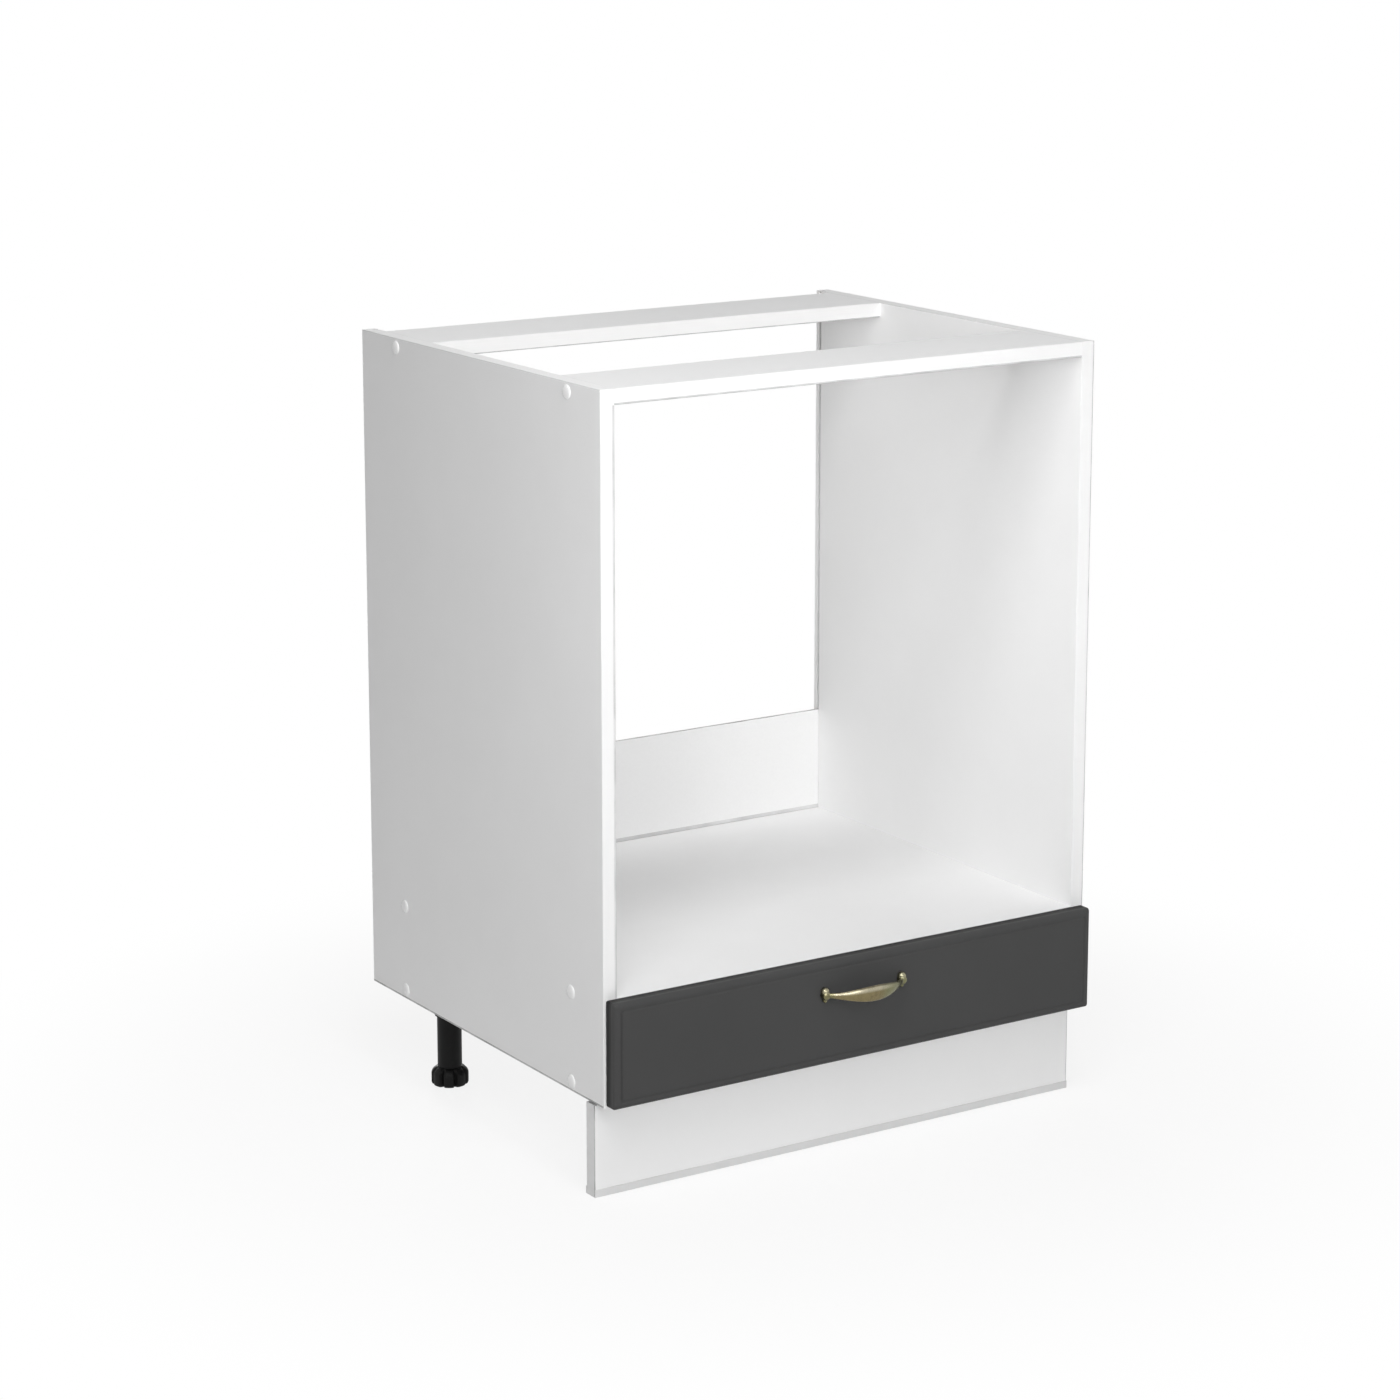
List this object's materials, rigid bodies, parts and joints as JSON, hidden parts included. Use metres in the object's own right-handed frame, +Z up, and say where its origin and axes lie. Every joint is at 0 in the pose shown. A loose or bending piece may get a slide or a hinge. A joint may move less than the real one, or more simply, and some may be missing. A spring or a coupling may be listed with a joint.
{
  "type": "oven housing cabinet",
  "caption": "Floor-standing kitchen base unit with an open niche for a built-in oven over a shallow drawer, on adjustable legs behind a clip-on plinth.",
  "frame": {"origin": "on the floor under the middle of the unit's outer box", "axes": "+Z up, -Y towards the person in front of the drawer, +X to that person's right"},
  "size_m": [0.6052, 0.5277, 0.82],
  "materials": {
    "white_board": "melamine-faced particle board, fine satin texture",
    "white_edge": "smooth edge band",
    "white_thin_board": "white-faced hardboard",
    "white_cap": "moulded push-on cap",
    "zinc_steel": "zinc plated",
    "black_plastic": "moulded polypropylene",
    "clip_plastic": "moulded clip",
    "plinth_white": "white laminated board",
    "seal_grey": "translucent sealing profile",
    "graphite_front": "matt graphite film on fibreboard",
    "antique_brass": "antique, brushed high spots",
    "runner_white": "epoxy coated steel",
    "roller_nylon": "nylon"
  },
  "bodies": {
    "carcass": {"left_side_panel": "white_board", "right_side_panel": "white_board", "left_side_edge_band": "white_edge", "right_side_edge_band": "white_edge", "bottom_panel": "white_board", "bottom_panel_edge_band": "white_edge", "oven_shelf": "white_board", "oven_shelf_edge_band": "white_edge", "front_top_rail": "white_board", "front_top_rail_edge_band": "white_edge", "rear_top_rail": "white_board", "rear_top_rail_edge_band": "white_edge", "back_strip": "white_thin_board", "back_strip_nails": "zinc_steel", "carcass_screws": "zinc_steel", "screw_caps": "white_cap", "leg_screws": "zinc_steel", "cabinet_runner_left": "runner_white", "cabinet_runner_right": "runner_white", "cabinet_roller_pins": "zinc_steel", "cabinet_runner_screws": "zinc_steel", "leg_socket_front_left": "black_plastic", "leg_socket_front_right": "black_plastic", "leg_socket_rear_left": "black_plastic", "leg_socket_rear_right": "black_plastic", "leg_tube_front_left": "black_plastic", "leg_tube_front_right": "black_plastic", "leg_tube_rear_left": "black_plastic", "leg_tube_rear_right": "black_plastic"},
    "drawer": {"drawer_front": "graphite_front", "drawer_handle": "antique_brass", "handle_screws": "zinc_steel", "drawer_side_left": "white_board", "drawer_side_right": "white_board", "drawer_inner_front": "white_board", "drawer_back": "white_board", "drawer_bottom": "white_thin_board", "drawer_bottom_nails": "zinc_steel", "drawer_box_screws": "zinc_steel", "drawer_front_screws": "zinc_steel", "drawer_runner_left": "runner_white", "drawer_runner_right": "runner_white", "drawer_roller_pins": "zinc_steel", "drawer_runner_screws": "zinc_steel"},
    "front_roller_left": {"front_roller_left": "roller_nylon"},
    "rear_roller_left": {"rear_roller_left": "roller_nylon"},
    "front_roller_right": {"front_roller_right": "roller_nylon"},
    "rear_roller_right": {"rear_roller_right": "roller_nylon"},
    "foot_front_left": {"leg_foot_front_left": "black_plastic"},
    "foot_front_right": {"leg_foot_front_right": "black_plastic"},
    "foot_rear_left": {"leg_foot_rear_left": "black_plastic"},
    "foot_rear_right": {"leg_foot_rear_right": "black_plastic"},
    "plinth": {"plinth_board": "plinth_white", "plinth_seal": "seal_grey", "plinth_clip_left": "clip_plastic", "plinth_clip_right": "clip_plastic", "plinth_clip_screws": "zinc_steel"}
  },
  "joints": [
    {"name": "drawer_slide", "type": "slide", "parent": "carcass", "child": "drawer", "axis": [0, -1, 0], "range_m": [0, 0.33]},
    {"name": "front_roller_spin_left", "type": "hinge", "parent": "carcass", "child": "front_roller_left", "pos_m": [-0.2789, -0.20415, 0.1318], "axis": [1, 0, 0], "continuous": true},
    {"name": "rear_roller_spin_left", "type": "hinge", "parent": "drawer", "child": "rear_roller_left", "pos_m": [-0.2766, 0.21185, 0.1327], "axis": [1, 0, 0], "continuous": true},
    {"name": "front_roller_spin_right", "type": "hinge", "parent": "carcass", "child": "front_roller_right", "pos_m": [0.2789, -0.20415, 0.1318], "axis": [1, 0, 0], "continuous": true},
    {"name": "rear_roller_spin_right", "type": "hinge", "parent": "drawer", "child": "rear_roller_right", "pos_m": [0.2766, 0.21185, 0.1327], "axis": [1, 0, 0], "continuous": true},
    {"name": "foot_screw_front_left", "type": "slide", "parent": "carcass", "child": "foot_front_left", "axis": [0, 0, -1], "range_m": [0, 0.02]},
    {"name": "foot_screw_front_right", "type": "slide", "parent": "carcass", "child": "foot_front_right", "axis": [0, 0, -1], "range_m": [0, 0.02]},
    {"name": "foot_screw_rear_left", "type": "slide", "parent": "carcass", "child": "foot_rear_left", "axis": [0, 0, -1], "range_m": [0, 0.02]},
    {"name": "foot_screw_rear_right", "type": "slide", "parent": "carcass", "child": "foot_rear_right", "axis": [0, 0, -1], "range_m": [0, 0.02]},
    {"name": "plinth_pull_off", "type": "slide", "parent": "carcass", "child": "plinth", "axis": [0, -1, 0], "range_m": [0, 0.08]}
  ],
  "couplings": [
    {"joint": "front_roller_spin_left", "follows": "drawer_slide", "rad_per_m": 83.333},
    {"joint": "rear_roller_spin_left", "follows": "drawer_slide", "rad_per_m": 75.758},
    {"joint": "front_roller_spin_right", "follows": "drawer_slide", "rad_per_m": 83.333},
    {"joint": "rear_roller_spin_right", "follows": "drawer_slide", "rad_per_m": 75.758}
  ]
}
